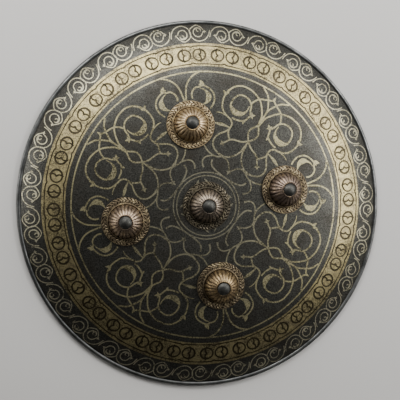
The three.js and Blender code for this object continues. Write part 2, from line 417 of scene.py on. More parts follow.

# The bosses differ in patina, and the right dome is darker than the left. The top boss's dome and flange are
# painted lighter, a painted highlight for the stronger light at the top of the shield.
COPPER_DOME = GiltCopper()
PAINTED_LIGHT_DOME = GiltCopper("gilt_dome_painted_light", "17130F", "7E6A50", "D9C29C", "B89C6C")
DULL_DOME = GiltCopper("dull_copper_dome", "14110D", "55493F", "99877A", "8A7759")
GILT_DOME = GiltCopper("worn_gilt_dome", "15110C", "5B4C39", "9B8766", "927B4E")
GREY_DOME = GiltCopper("grey_copper_dome", "17140F", "585048", "998B7A", "7E735F")
GILT_FLANGE = GiltCopper("gilt_copper_flange", "1D1812", "716450", "C2B498", "9A8B66")
PAINTED_LIGHT_FLANGE = GiltCopper("gilt_flange_painted_light", "1F1912", "84745A", "D6C6A4", "AF9D70")
DARK_FLANGE = GiltCopper("dark_copper_flange", "1A1712", "504A3E", "9A9080", "766D55")

# Iron and bare steel: two tones, stain and grain in mm, grain depth in mm, roughness
WORN_RIM = PlainIron("worn_rim_steel", "464746", "7B7C7A", 18.0, 1.2, 0.04, (0.33, 0.45))
BACK_STEEL = PlainIron("browned_back_steel", "2A2420", "4A4039", 30.0, 2.2, 0.08, (0.45, 0.62))
FORGED_IRON = PlainIron("forged_iron_skin", "2B2826", "55504B", 5.0, 1.1, 0.08, (0.4, 0.6))
CAP_STEEL = PlainIron("dark_cap_steel", "373736", "565550", 4.0, 0.9, 0.06, (0.5, 0.62))
BARE_LINE = PlainIron("bare_steel_line", "2E2A20", "4E4636", 8.0, 1.4, 0.05, (0.45, 0.6))


def spun(profile: list[tuple[float, float]], steps: int, ring: bool = False) -> bmesh.types.BMesh:
    """Turns a profile about the Z axis into a closed mesh.

    Args:
        profile: Points as distance from the axis and height, in mm.
        steps: Steps in the full turn.
        ring: Whether the profile's last point joins its first.

    Returns:
        The mesh in mm, with its faces pointing out.
    """
    bm = bmesh.new()
    verts = [bm.verts.new((distance, 0.0, height)) for distance, height in profile]
    follow = verts[1:] + verts[:1] if ring else verts[1:]
    edges = [bm.edges.new(pair) for pair in zip(verts, follow)]
    bmesh.ops.spin(
        bm, geom=verts + edges, cent=(0, 0, 0), axis=(0, 0, 1), angle=math.tau, steps=steps, use_merge=True,
    )
    bmesh.ops.remove_doubles(bm, verts=bm.verts, dist=WELD)
    bmesh.ops.recalc_face_normals(bm, faces=bm.faces)
    return bm


def wire_ring(mean_radius: float, wire_radius: float, steps: int, sides: int) -> bmesh.types.BMesh:
    """A ring of round wire that stands in the XZ plane, centred on the origin, in mm."""
    section = [
        (
            mean_radius + wire_radius * math.cos(math.tau * i / sides),
            wire_radius * math.sin(math.tau * i / sides),
        )
        for i in range(sides)
    ]
    bm = spun(section, steps, ring=True)
    bmesh.ops.rotate(bm, verts=bm.verts, matrix=Matrix.Rotation(math.pi / 2, 3, "X"))
    return bm


def arc(centre: Vector, radius: float, start: float, end: float, steps: int) -> list[tuple[float, float]]:
    """Points on an arc of a profile, with angles in radians from +Z towards +X."""
    angles = [start + (end - start) * i / steps for i in range(steps + 1)]
    return [(centre.x + radius * math.sin(a), centre.y + radius * math.cos(a)) for a in angles]


def join_in(target: bmesh.types.BMesh, addition: bmesh.types.BMesh) -> None:
    """Copies one mesh into another and frees it.

    Args:
        target: The mesh that grows.
        addition: The mesh that is copied in.
    """
    carrier = bpy.data.meshes.new("carrier")
    addition.to_mesh(carrier)
    addition.free()
    target.from_mesh(carrier)
    bpy.data.meshes.remove(carrier)


def finish(bm: bmesh.types.BMesh, name: str, materials: list[Material],
           nodes: tuple[str, ...] = (), crease: float = 40.0) -> None:
    """Makes a piece of the shield out of a mesh in mm.

    Args:
        bm: The mesh, which is freed.
        name: The piece's name.
        materials: Its materials, in the order of the faces' material numbers.
        nodes: The CAD nodes that it stands for.
        crease: The angle in degrees from which an edge stays sharp.
    """
    bmesh.ops.scale(bm, vec=(MM, MM, MM), verts=bm.verts)
    bm.normal_update()
    for face in bm.faces:
        face.smooth = True
    for edge in bm.edges:
        edge.smooth = edge.calc_face_angle(0.0) < math.radians(crease)
    mesh = bpy.data.meshes.new(name)
    bm.to_mesh(mesh)
    bm.free()
    for material in materials:
        mesh.materials.append(material)
    piece = bpy.data.objects.new(name, mesh)
    bpy.context.scene.collection.objects.link(piece)
    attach(piece, BODY)
    if nodes:
        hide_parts(*nodes)
    log.info("%s: %d faces", name, len(mesh.polygons))


@dataclass(frozen=True)
class Plate:
    """The domed plate: a flat crown arc, a tighter shoulder arc and a rolled rim."""

    outer_diameter: float = 400.0
    height: float = 47.0
    thickness: float = 1.6
    crown_radius: float = 650.0
    shoulder_radius: float = 146.0
    roll_diameter: float = 5.0
    roll_flat: float = 2.6
    turn_steps: int = 384
    # Rows of faces, in the order of the section: crown and shoulder, roll, and back inside
    outer_rows: tuple[int, int] = (27, 24)
    roll_rows: tuple[int, int] = (14, 8)
    inner_rows: tuple[int, int] = (16, 24)

    @property
    def roll_radius(self) -> float:
        """The radius of the rim's roll."""
        return self.roll_diameter / 2

    @cached_property
    def roll_centre(self) -> Vector:
        """The roll's centre, as distance from the axis and height."""
        return Vector((
            self.outer_diameter / 2 - self.roll_radius,
            math.sqrt(self.roll_radius ** 2 - (self.roll_flat / 2) ** 2),
        ))

    @cached_property
    def crown_centre(self) -> Vector:
        """The crown arc's centre, on the axis."""
        return Vector((0.0, self.height - self.crown_radius))

    @cached_property
    def shoulder_centre(self) -> Vector:
        """The shoulder arc's centre, whose arc touches the crown and ends in the roll's centre."""
        from_crown = self.crown_radius - self.shoulder_radius
        to_roll = self.roll_centre - self.crown_centre
        span = to_roll.length
        along = (from_crown ** 2 - self.shoulder_radius ** 2 + span ** 2) / (2 * span)
        across = math.sqrt(from_crown ** 2 - along ** 2)
        out, up = to_roll.normalized()
        return self.crown_centre + Vector((out * along - up * across, up * along + out * across))

    @cached_property
    def break_angle(self) -> float:
        """The slope at which the crown turns into the shoulder."""
        between = self.shoulder_centre - self.crown_centre
        return math.atan2(between.x, between.y)

    @cached_property
    def break_radius(self) -> float:
        """The distance from the axis at which the crown turns into the shoulder."""
        return self.crown_radius * math.sin(self.break_angle)

    def face_at(self, distance: float) -> tuple[float, float]:
        """The outer face at a distance from the axis.

        Args:
            distance: The distance from the axis.

        Returns:
            The face's height, and its slope in radians.
        """
        if distance <= self.break_radius:
            slope = math.asin(distance / self.crown_radius)
            return self.crown_centre.y + self.crown_radius * math.cos(slope), slope
        slope = math.asin((distance - self.shoulder_centre.x) / self.shoulder_radius)
        return self.shoulder_centre.y + self.shoulder_radius * math.cos(slope), slope

    def on_face(self, x: float, y: float, lift: float) -> Vector:
        """The point that stands a lift above the outer face over a place in plan."""
        distance = math.hypot(x, y)
        height, slope = self.face_at(distance)
        outward = lift * math.sin(slope) / max(distance, WELD)
        return Vector((x * (1 + outward), y * (1 + outward), height + lift * math.cos(slope)))

    def seat(self, distance: float, azimuth: float) -> Matrix:
        """The place of a boss or bolt on the outer face, with its own Z along the plate's normal."""
        height, slope = self.face_at(distance)
        turn = Matrix.Rotation(math.radians(azimuth), 4, "Z")
        return turn @ Matrix.Translation((distance, 0, height)) @ Matrix.Rotation(slope, 4, "Y")

    def profile(self) -> list[tuple[float, float]]:
        """The plate's section from the top of the axis out over the roll and back inside."""
        inner_shoulder = self.shoulder_radius - self.thickness
        inner_crown = self.crown_radius - self.thickness
        to_roll = self.roll_centre - self.shoulder_centre
        roll_angle = math.atan2(to_roll.x, to_roll.y)
        outer_meet = roll_angle - 2 * math.asin(self.roll_radius / (2 * self.shoulder_radius))
        inner_meet = roll_angle - math.acos(
            (inner_shoulder ** 2 + self.shoulder_radius ** 2 - self.roll_radius ** 2)
            / (2 * self.shoulder_radius * inner_shoulder)
        )
        flat_half = math.asin(self.roll_flat / self.roll_diameter)
        roll_start = self.angle_on_roll(self.shoulder_radius, outer_meet)
        roll_end = self.angle_on_roll(inner_shoulder, inner_meet) + math.tau
        crown, shoulder, roll = self.crown_centre, self.shoulder_centre, self.roll_centre
        return [
            *arc(crown, self.crown_radius, 0, self.break_angle, self.outer_rows[0])[:-1],
            *arc(shoulder, self.shoulder_radius, self.break_angle, outer_meet, self.outer_rows[1])[:-1],
            *arc(roll, self.roll_radius, roll_start, math.pi - flat_half, self.roll_rows[0]),
            *arc(roll, self.roll_radius, math.pi + flat_half, roll_end, self.roll_rows[1])[:-1],
            *arc(shoulder, inner_shoulder, inner_meet, self.break_angle, self.inner_rows[0])[:-1],
            *arc(crown, inner_crown, self.break_angle, 0, self.inner_rows[1]),
        ]

    def angle_on_roll(self, radius: float, angle: float) -> float:
        """The angle about the roll's centre of a point given about the shoulder's centre."""
        x = self.shoulder_centre.x + radius * math.sin(angle) - self.roll_centre.x
        z = self.shoulder_centre.y + radius * math.cos(angle) - self.roll_centre.y
        return math.atan2(x, z)

    def build(self) -> None:
        """Spins the plate and gives its face, its rim and its back their own finishes."""
        bm = spun(self.profile(), self.turn_steps)
        rim_start = self.outer_diameter / 2 - self.roll_diameter
        for face in bm.faces:
            centre = face.calc_center_median()
            distance = math.hypot(centre.x, centre.y)
            if distance > rim_start:
                face.material_index = 1
            elif centre.z < self.face_at(distance)[0] - self.thickness / 2:
                face.material_index = 2
        finishes = [BlackenedSteel().material(), WORN_RIM.material(), BACK_STEEL.material()]
        finish(bm, "domed_plate", finishes, ("shield_plate",))


@dataclass(frozen=True)
class Stroke:
    """One line of the ornament, seen in plan.

    A point is x and y, and may have the line's width there as a third number.
    """

    points: tuple[tuple[float, ...], ...]
    width: float = 1.6
    curved: bool = True
    least_width: float = 0.05

    def path(self, step: float = 1.3) -> list[tuple[float, float, float]]:
        """Runs a smooth curve through the points.

        Args:
            step: About how far apart the samples are.

        Returns:
            Samples as x, y and width.
        """
        knots = [Vector((p[0], p[1], p[2] if len(p) > 2 else self.width)) for p in self.points]
        if not self.curved:
            return [tuple(k) for k in knots]
        ends = [2 * knots[0] - knots[1], *knots, 2 * knots[-1] - knots[-2]]
        samples = []
        for before, start, end, after in zip(ends, ends[1:], ends[2:], ends[3:]):
            count = max(2, round((end - start).xy.length / step))
            for i in range(count):
                t = i / count
                samples.append(0.5 * (
                    2 * start + (end - before) * t
                    + (2 * before - 5 * start + 4 * end - after) * t ** 2
                    + (3 * start - before - 3 * end + after) * t ** 3
                ))
        samples.append(knots[-1])
        return [(s.x, s.y, max(s.z, self.least_width)) for s in samples]

    def moved(self, turn: float, mirrored: bool) -> "Stroke":
        """The stroke after a mirroring about the diagonal, if asked, and then a turn in degrees."""
        cos, sin = math.cos(math.radians(turn)), math.sin(math.radians(turn))
        points = []
        for x, y, *rest in self.points:
            a, b = (y, x) if mirrored else (x, y)
            points.append((a * cos - b * sin, a * sin + b * cos, *rest))
        return replace(self, points=tuple(points))


def circle(radius: float, width: float, steps: int = 384) -> Stroke:
    """A full ring about the shield's axis as a stroke."""
    angles = [math.tau * i / steps for i in range(steps + 1)]
    return Stroke(tuple((radius * math.cos(a), radius * math.sin(a)) for a in angles), width, curved=False)


def petal(x: float, y: float, heading: float, length: float, width: float, bend: float = 0.0) -> Stroke:
    """A pointed petal.

    Args:
        x: Where it starts.
        y: Where it starts.
        heading: The direction in degrees in which it points.
        length: Its length.
        width: Its greatest width.
        bend: How far its middle swings to the left.

    Returns:
        The petal as a stroke.
    """
    cos, sin = math.cos(math.radians(heading)), math.sin(math.radians(heading))
    shape = ((0.0, 0.0, 0.5), (0.35, 1.0, 1.0), (0.7, 0.8, 0.62), (1.0, 0.0, 0.06))
    return Stroke(tuple(
        (
            x + along * length * cos - side * bend * sin,
            y + along * length * sin + side * bend * cos,
            share * width,
        )
        for along, side, share in shape
    ))


def bud(x: float, y: float, heading: float, size: float) -> list[Stroke]:
    """Three petals that spring from one point, the middle one the longest."""
    return [
        petal(x, y, heading, size, 0.5 * size),
        petal(x, y, heading + 62, 0.72 * size, 0.38 * size, -0.12 * size),
        petal(x, y, heading - 62, 0.72 * size, 0.38 * size, 0.12 * size),
    ]


class Repeat(Enum):
    """How a stroke of the field is repeated: turned only, or mirrored about the diagonal too."""

    QUARTERS = (False,)
    EIGHTHS = (False, True)


@dataclass
class FoilWork:
    """Strokes laid on the plate's outer face as one thin skin of metal."""

    plate: Plate
    lift: float
    thickness: float
    bm: bmesh.types.BMesh = field(default_factory=bmesh.new)

    def draw(self, stroke: Stroke, columns: int = 2) -> None:
        """Lays one stroke on the plate.

        Args:
            stroke: The stroke.
            columns: The number of faces across it.
        """
        path = stroke.path()
        rows = len(path) - 1
        made = bmesh.ops.create_grid(self.bm, x_segments=rows, y_segments=columns, size=0.5)
        for vert in made["verts"]:
            row = round((vert.co.x + 0.5) * rows)
            across = vert.co.y
            x, y, width = path[row]
            back, ahead = path[max(row - 1, 0)], path[min(row + 1, rows)]
            if not stroke.curved and row in (0, rows):
                back, ahead = path[-2], path[1]
            run = Vector((ahead[0] - back[0], ahead[1] - back[1])).normalized()
            vert.co = self.plate.on_face(x - run.y * across * width, y + run.x * across * width, self.lift)

    def draw_all(self, strokes: list[Stroke], repeat: Repeat) -> None:
        """Lays strokes on the plate in each quarter, and mirrored where asked."""
        for stroke in strokes:
            for mirrored in repeat.value:
                for turn in range(0, 360, 90):
                    self.draw(stroke.moved(turn, mirrored))

    def build(self, name: str, material: Material) -> None:
        """Gives the skin its thickness and makes it a piece."""
        bmesh.ops.remove_doubles(self.bm, verts=self.bm.verts, dist=FOIL_WELD)
        self.bm.normal_update()
        bmesh.ops.solidify(self.bm, geom=self.bm.faces[:], thickness=-self.thickness)
        finish(self.bm, name, [material])


@dataclass(frozen=True)
class Arabesque:
    """The scrollwork of the field, drawn once for the eighth between +Y and the diagonal."""

    field_line_radius: float = 143.7
    field_line: float = 1.5
    medallion_radii: tuple[float, float] = (35.8, 32.2)
    medallion_line: float = 1.2
    medallion_steps: int = 144
    line: float = 1.7

    def scrolls(self) -> list[Stroke]:
        """The strokes that are mirrored about the diagonal."""
        w = self.line
        arch = Stroke(((21, 141.9), (13.5, 139), (7.5, 134), (4, 128), (2.2, 121), (1, 114)), w)
        boss_curl = Stroke((
            (25, 101), (29, 105), (31.5, 110), (32, 115.5), (30, 120.5), (26, 124.5), (21.5, 127),
            (18, 126), (14, 126), (10, 123), (8, 118.5), (8.3, 115),
        ), w)
        boss_crescent = Stroke((
            (18.5, 124.6, 0.5), (21.5, 123.2, 1.2), (24, 120.6, 1.8), (25.6, 117.6, 4.0), (26.1, 114.4, 6.2),
            (24.8, 110.8, 5.2), (22, 108.3, 2.8), (19.2, 107, 1.2), (17.6, 106.2, 0.5),
        ))
        great_ring = Stroke((
            (72.5, 73), (75, 76.5), (79, 82.6), (80.4, 88.8), (81, 94.7), (80.4, 100), (78.3, 105),
            (74.5, 111), (70, 114.8), (66, 117.5), (60, 119), (54, 118.3), (49, 116), (46, 114),
            (42.5, 110.5), (39.5, 105), (38, 99.5), (39, 94), (42, 88.5), (44.5, 84.5), (44.3, 80),
            (42, 77), (39.3, 74), (38.3, 70), (38.2, 64.5),
        ), w)
        spiral = Stroke((
            (66.6, 86, 1.7), (67.8, 90.5, 1.7), (69.8, 95, 1.7), (69.9, 99, 1.7), (68.5, 103, 1.7),
            (65.3, 106.7, 1.7), (60, 109, 1.7), (54.6, 107.8, 1.7), (50, 104.3, 1.8), (47.6, 100, 2.2),
            (48.2, 96.4, 4.2), (49.9, 93, 6.4), (53.2, 90.2, 5.6), (58, 88.9, 3.8), (62, 89.9, 1.9),
            (65.2, 92.2, 1.2), (67.6, 95.3, 0.8),
        ))
        under_spiral = Stroke((
            (68, 85), (65.8, 84.6), (63, 83.2), (60, 81.4), (57.5, 81.2), (54.2, 82), (50.2, 83.8),
            (46, 86.8),
        ), w)
        link = Stroke((
            (70.5, 97.5), (74.2, 99.3), (77.5, 100.2), (80.4, 100.5), (84.2, 99.7), (87.9, 98.2),
            (90, 97.6), (93.3, 96.5), (95.8, 96.3),
        ), w)
        stem = Stroke((
            (87.9, 112.2), (89, 108.8), (90.2, 105.1), (90.6, 101.3), (90, 97.6), (89, 93.8),
            (87.9, 90.1), (86.5, 87.2), (84.2, 84.3), (81.3, 81.3),
        ), w)
        almond = Stroke(((72.5, 73), (68, 72), (63, 70.5), (60, 66.5), (59, 62), (58.8, 59)), w)
        twig = Stroke((
            (58.8, 58.8), (54, 59), (50, 60), (46, 62), (42, 63.8), (38.5, 64.3), (35, 63.3), (31, 62.4),
        ), w)
        loop = Stroke((
            (41, 76, w), (36, 74, w), (30, 73, w), (25, 71, w), (21, 67.3, w), (19.6, 62, w),
            (20.8, 57, w), (23.6, 52.3, 2.0), (25.8, 49.8, 2.8), (28.4, 47.8, 2.1), (33, 46.5, w),
            (39, 46.5, w), (44, 47.7, w), (48.5, 50, w), (52, 53, w), (55.5, 55.5, w),
        ))
        boss_leaf = Stroke((
            (42, 76.4, 1.3), (39, 78.8, 1.5), (35.6, 81, 2.5), (32.4, 82.7, 3.4), (29, 84.2, 2.4),
            (26.5, 85.4, 1.2),
        ))
        faint_leaf = Stroke(((40.8, 89.6, 0.9), (37.4, 93, 1.1), (34, 95.2, 1.1), (30.5, 96.2, 0.6)))
        inner_curl = Stroke((
            (10, 64.5), (12.5, 58), (16.5, 52.5), (21, 49.5), (26, 48.2), (30, 45.5), (32, 41),
            (31.8, 36), (31, 32),
        ), 1.5)
        hook = Stroke((
            (4.5, 41, 2.2), (4.3, 45, 1.6), (5.5, 49, 1.5), (9, 51.5, 1.4), (13, 51.8, 1.4),
            (17, 51.2, 1.4), (21, 49.5, 1.3),
        ))
        medallion_hug = Stroke((
            (15.6, 47.3), (14, 43.6), (14.2, 40), (16.2, 36.2), (18.8, 32.6), (22, 29), (25.3, 25.6),
        ), w)
        return [
            arch, boss_curl, boss_crescent, great_ring, spiral, under_spiral, link, stem, almond, twig,
            loop, boss_leaf, faint_leaf, inner_curl, hook, medallion_hug,
            petal(58.4, 81.6, 238, 4.4, 2.6),
            petal(45.4, 111.8, 108, 6.4, 3.2),
            petal(46.6, 112.6, 62, 5.8, 2.8),
            petal(6.0, 25.2, 128, 4.8, 2.2, 0.3),
            petal(22.8, 126.2, 110, 7.2, 4.4),
            petal(22.0, 127.4, 160, 4.4, 1.8),
            *bud(66.6, 85.0, 352, 5.6),
            *bud(31.4, 62.5, 190, 5.0),
        ]

    def diagonal_leaves(self) -> list[Stroke]:
        """The strokes that lie on the diagonal."""
        return [
            Stroke(((74, 74, 0.8), (77, 77, 3.6), (79.5, 79.5, 3.0), (82, 82, 0.8))),
            Stroke(((48.6, 48.6, 2.6), (51.5, 51.5, 3.4), (54, 54, 1.8), (59, 59, 1.0))),
            petal(95.2, 95.2, 45, 5.4, 2.6),
            *bud(31.6, 31.6, 225, 5.0),
        ]

    def build(self, plate: Plate, gold: Material) -> None:
        """Lays the scrollwork and its rings on the plate."""
        work = FoilWork(plate, FOIL_LIFT, FOIL_THICKNESS)
        work.draw_all(self.scrolls(), Repeat.EIGHTHS)
        work.draw_all(self.diagonal_leaves(), Repeat.QUARTERS)
        work.draw(circle(self.field_line_radius, self.field_line))
        for radius in self.medallion_radii:
            work.draw(circle(radius, self.medallion_line, self.medallion_steps))
        work.build("gold_arabesque", gold)


def bent(stroke: Stroke, azimuth: float, radius: float) -> Stroke:
    """Bends a stroke from a straight strip on to a circular band.

    Args:
        stroke: The stroke, with x running clockwise along the band and y outward.
        azimuth: Where the strip's middle lies, in degrees.
        radius: The radius of the band's middle.

    Returns:
        The stroke in plan.
    """
    points = []
    for x, y, *rest in stroke.points:
        angle = math.radians(azimuth) - x / radius
        points.append(((radius + y) * math.cos(angle), (radius + y) * math.sin(angle), *rest))
    return replace(stroke, points=tuple(points))


@dataclass(frozen=True)
class ScrollBorder:
    """The outer border: pairs of spirals that turn into each other like a lying S."""

    pair_count: int = 27
    first_azimuth: float = 176.27
    radius: float = 185.5
    half_spacing: float = 8.47
    half_shift: float = 0.63
    line: float = 1.05

    def spiral(self) -> list[Stroke]:
        """The left spiral of a pair about its own centre."""
        outline = (
            (13.7, 194), (11.8, 168), (10.4, 134), (9.4, 90), (8.9, 50), (8.7, 8), (8.9, -27),
            (8.4, -81), (7.2, -120), (7.0, -159),
        )
        outer = Stroke(tuple(
            (r * math.cos(math.radians(a)), r * math.sin(math.radians(a))) for r, a in outline
        ), self.line)
        curl = Stroke((
            (-6.2, -1.7, 0.8), (-4.9, 0.9, 1.0), (-3.6, 3.3, 1.05), (-0.6, 4.6, 1.05), (2.6, 3.9, 1.05),
            (4.6, 1.3, 1.1), (4.6, -1.9, 1.2), (2.9, -4.3, 1.5), (0, -5.3, 1.8), (-2.5, -4.6, 1.5),
            (-3.4, -2.6, 0.8), (-2.7, -1.2, 0.3),
        ))
        hook = Stroke(((0.2, -4.8, 1.0), (1.1, -3.0, 1.0), (0.1, -1.4, 0.9), (-1.2, -1.6, 0.3)))
        return [outer, curl, hook, *bud(-6.4, -1.4, 175, 2.9)]

    def pair(self) -> list[Stroke]:
        """Both spirals of a pair, the right one turned half round."""
        strokes = []
        for stroke in self.spiral():
            for turn in (0.0, 180.0):
                turned = stroke.moved(turn, False)
                side = -1 if turn == 0.0 else 1
                points = tuple(
                    (x + side * self.half_spacing, y + side * self.half_shift, *rest)
                    for x, y, *rest in turned.points
                )
                strokes.append(replace(turned, points=points))
        return strokes

    def build(self, plate: Plate, gold: Material) -> None:
        """Lays the border on the plate."""
        work = FoilWork(plate, FOIL_LIFT, FOIL_THICKNESS)
        for i in range(self.pair_count):
            azimuth = self.first_azimuth - 360 * i / self.pair_count
            for stroke in self.pair():
                work.draw(bent(stroke, azimuth, self.radius), columns=1)
        work.build("gold_scroll_border", gold)


@dataclass(frozen=True)
class RoundelBand:
    """The gold band with its chain of paired roundels, drawn in bare steel lines."""

    pair_count: int = 28
    first_azimuth: float = 45.0
    inner_radius: float = 149.7
    outer_radius: float = 174.4
    middle: float = 161.7
    edge_offset: float = 9.8
    edge_width: float = 1.4
    cusp_depth: float = 1.5
    half_width: float = 6.8
    half_height: float = 6.15
    half_spacing: float = 2.87
    line: float = 1.9
    swell: float = 0.3
    brace_shift: float = 1.0
    point_width: float = 1.8
    oval_steps: int = 28
    gold_columns: int = 12

    def build_gold(self, plate: Plate, gold: Material) -> None:
        """Lays the gold of the band."""
        work = FoilWork(plate, FOIL_LIFT, FOIL_THICKNESS)
        radius = (self.inner_radius + self.outer_radius) / 2
        work.draw(circle(radius, self.outer_radius - self.inner_radius), self.gold_columns)
        work.build("gold_roundel_band", gold)

    def roundel(self, side: int) -> list[Stroke]:
        """One roundel of a pair about its own centre.

        Args:
            side: 1 for the right roundel of the pair, and -1 for the left one.

        Returns:
            Its oval, thicker away from the pair's middle, its brace and the two points.
        """
        angles = [math.tau * i / self.oval_steps for i in range(self.oval_steps + 1)]
        oval = Stroke(tuple(
            (
                self.half_width * math.cos(a),
                self.half_height * math.sin(a),
                self.line + self.swell * side * math.cos(a),
            )
            for a in angles
        ), curved=False)
        top, shift = self.half_height, self.brace_shift * side
        brace = Stroke((
            (shift, top, 1.5), (1.8 * side, 3.7, 1.7), (1.2 * side, 1.3, 1.8), (-0.2 * side, 0, 2.1),
            (1.2 * side, -1.3, 1.8), (1.8 * side, -3.7, 1.7), (shift, -top, 1.5),
        ))
        reach = (self.edge_offset - top) / 2
        return [
            oval,
            brace,
            petal(shift, top, 90, reach, self.point_width),
            petal(shift, -top, 270, reach, self.point_width),
        ]

    def edge_lines(self) -> list[Stroke]:
        """The lines along the band's edges over one pair, with a cusp at the pair's middle."""
        half = math.pi * self.middle / self.pair_count
        shape = ((0.0, 1.0, 1.3), (0.08, 0.45, 1.1), (0.2, 0.1, 1.0), (0.5, 0.0, 1.0), (1.0, 0.0, 0.7))
        strokes = []
        for edge in (1, -1):
            for side in (1, -1):
                points = []
                for along, dip, share in shape:
                    out = self.edge_offset - dip * self.cusp_depth
                    points.append((side * along * half, edge * out, self.edge_width * share))
                strokes.append(Stroke(tuple(points)))
        return strokes

    def build_lines(self, plate: Plate, bare: Material) -> None:
        """Lays the roundels and the edge lines over the gold."""
        work = FoilWork(plate, FOIL_LIFT + FOIL_THICKNESS, LINE_THICKNESS)
        for i in range(self.pair_count):
            azimuth = self.first_azimuth + 360 * i / self.pair_count
            for stroke in self.edge_lines():
                work.draw(bent(stroke, azimuth, self.middle), columns=1)
            for side in (-1, 1):
                for stroke in self.roundel(side):
                    work.draw(bent(stroke, azimuth - side * self.half_spacing, self.middle), columns=1)
        work.build("roundel_linework", bare)


@dataclass(frozen=True)
class Boss:
    """A cast boss: a fluted dome and a bead on a chased, scalloped flange.

    Shares run from 0 at a part's foot or inner edge to 1 at its top or outer edge, and reliefs
    from 0 in a groove to 1 on a crest.
    """

    ring_radius: float = 88.0
    flange_diameter: float = 52.0
    edge_thickness: float = 1.2
    edge_chamfer: float = 0.7
    flange_rise: float = 0.9
    bead_width: float = 1.6
    bead_rise: float = 1.1
    dome_diameter: float = 36.4
    dome_rise: float = 16.5
    dome_rows: int = 26
    bead_rows: int = 8
    flange_rows: int = 16
    flange_fall: float = 1.5
    soften: float = 0.2
    flute_count: int = 24
    flute_depth: float = 1.35
    flute_foot: float = 0.1
    flute_run_out: float = 0.06
    flute_taper: float = 0.6
    flute_wander: float = 0.12
    flute_fullness: float = 1.05
    flute_wear: float = 0.55
    turned_flutes: int = 5
    groove_relief: tuple[float, float] = (0.1, 0.5)
    plain_relief: float = 0.55
    bead_relief: float = 0.6
    wall: float = 1.8
    bore_radius: float = 2.5
    seat_gap: float = 0.3
    head_seat_radius: float = 7.5
    # The lip round the flat, as distances out from its edge and up from it
    head_seat_rim: tuple[tuple[float, float], ...] = ((-0.5, 0.0), (-0.1, 0.35), (0.5, 0.3), (0.9, -0.45))
    hollow_angles: tuple[float, ...] = (0.0, 0.25, 0.5, 0.8, 1.1)
    leaf_count: int = 40
    leaf_slant: float = 1.6
    leaf_stagger: float = 0.25
    leaf_wander: float = 0.3
    leaf_reach: float = 0.2
    leaf_breadth: float = 0.8
    leaf_relief: float = 0.85
    leaf_wear: float = 0.3
    # Stem, edge and foot ridges round the flange: the share across it, half width and relief
    ridges: tuple[tuple[float, float, float], ...] = ((0.48, 0.07, 0.8), (0.93, 0.06, 1.0), (0.0, 0.08, 0.7))
    chasing_depth: float = 0.55
    chasing_ground: float = 0.6
    scallop_depth: float = 0.3
    wander: float = 7.0
    wander_gain: float = 1.6
    steps: int = 384
    crease: float = 60.0

    @property
    def flange_top(self) -> float:
        """The height of the flange where it meets the dome."""
        return self.edge_thickness + self.flange_rise

    @property
    def dome_radius(self) -> float:
        """The dome's radius at its foot, over the crests."""
        return self.dome_diameter / 2

    @property
    def flange_radius(self) -> float:
        """The flange's radius."""
        return self.flange_diameter / 2

    @property
    def bead_outer(self) -> float:
        """The bead's outer radius, where the flange starts."""
        return self.dome_radius + self.bead_width

    @property
    def seat_rise(self) -> float:
        """How far the flat on which the bolt's head sits stands over the dome's foot."""
        return self.dome_rise * math.sqrt(1 - (self.head_seat_radius / self.dome_radius) ** 2)

    @property
    def head_seat_height(self) -> float:
        """The height of the flat on which the bolt's head sits."""
        return self.flange_top + self.seat_rise

    def profile(self, plate: Plate) -> list[tuple[float, float]]:
        """The section of the boss, from the bore over the dome and flange to the hollow inside."""
        rise, foot, soften = self.dome_rise, self.flange_top, self.soften
        top_angle = math.acos(self.head_seat_radius / self.dome_radius)
        radius, start = self.flange_radius, self.bead_outer
        under = self.seat_gap - (plate.crown_radius - math.sqrt(plate.crown_radius ** 2 - radius ** 2))
        hollow = self.dome_radius - self.flute_depth - self.wall
        hollow_rise = self.seat_rise - self.wall
        seat_rim = [
            (self.head_seat_radius + out, self.head_seat_height + up) for out, up in self.head_seat_rim
        ]
        # The lip takes the place of the dome's first two rows
        dome = [
            (self.dome_radius * math.cos(a), foot + rise * math.sin(a))
            for a in (top_angle * (1 - i / self.dome_rows) for i in range(2, self.dome_rows + 1))
        ]
        bead = [
            (
                self.dome_radius + self.bead_width / 2 - self.bead_width / 2 * math.cos(a),
                foot + self.bead_rise * math.sin(a),
            )
            for a in (math.pi * i / self.bead_rows for i in range(1, self.bead_rows))
        ]
        fall = self.flange_rise - soften - self.edge_chamfer / 2
        reach = radius - self.edge_chamfer - start
        flange = [
            (start + reach * share, foot - soften - fall * share ** self.flange_fall)
            for share in (i / self.flange_rows for i in range(self.flange_rows + 1))
        ]
        edge = [
            (radius - soften, self.edge_thickness + soften),
            (radius, self.edge_thickness - soften),
            (radius, under + 1.5 * soften),
            (radius - 1.5 * soften, under),
        ]
        inside = [(hollow * math.cos(a), foot + hollow_rise * math.sin(a)) for a in self.hollow_angles]
        return [
            (self.bore_radius, self.head_seat_height), *seat_rim, *dome, *bead, *flange, *edge,
            (hollow, self.seat_gap - soften), *inside,
            (self.bore_radius, self.head_seat_height - self.wall),
        ]

    def flute(self, distance: float, angle: float, height: float, drift: float) -> tuple[float, float]:
        """How deep the dome is cut at a point.

        Args:
            distance: The point's distance from the boss's axis.
            angle: Its angle about the axis.
            height: Its height over the seat.
            drift: How far the hand's unevenness goes there, from -1 to 1.

        Returns:
            The depth of the cut and the relief, from 0 in a groove to 1 on a crest.
        """
        share = min(max((height - self.flange_top) / self.seat_rise, 0.0), 1.0)
        phase = self.flute_count * angle / math.tau + 0.5 + self.flute_wander * drift
        across = 2 * abs(phase % 1 - 0.5)
        foot = max(0.0, 1 - share / self.flute_foot)
        crest = math.sqrt(max(0.0, 1 - across ** 2 - foot ** 2))
        worn = 0.5 + 0.5 * drift
        taper = (distance / self.dome_radius) ** self.flute_taper
        run_out = min(1.0, (1 - share) / self.flute_run_out)
        fade = taper * run_out * (self.flute_fullness - self.flute_wear * worn)
        fresh, rubbed = self.groove_relief
        groove = fresh + (rubbed - fresh) * worn
        return self.flute_depth * fade * (1 - crest), groove + (1 - groove) * crest

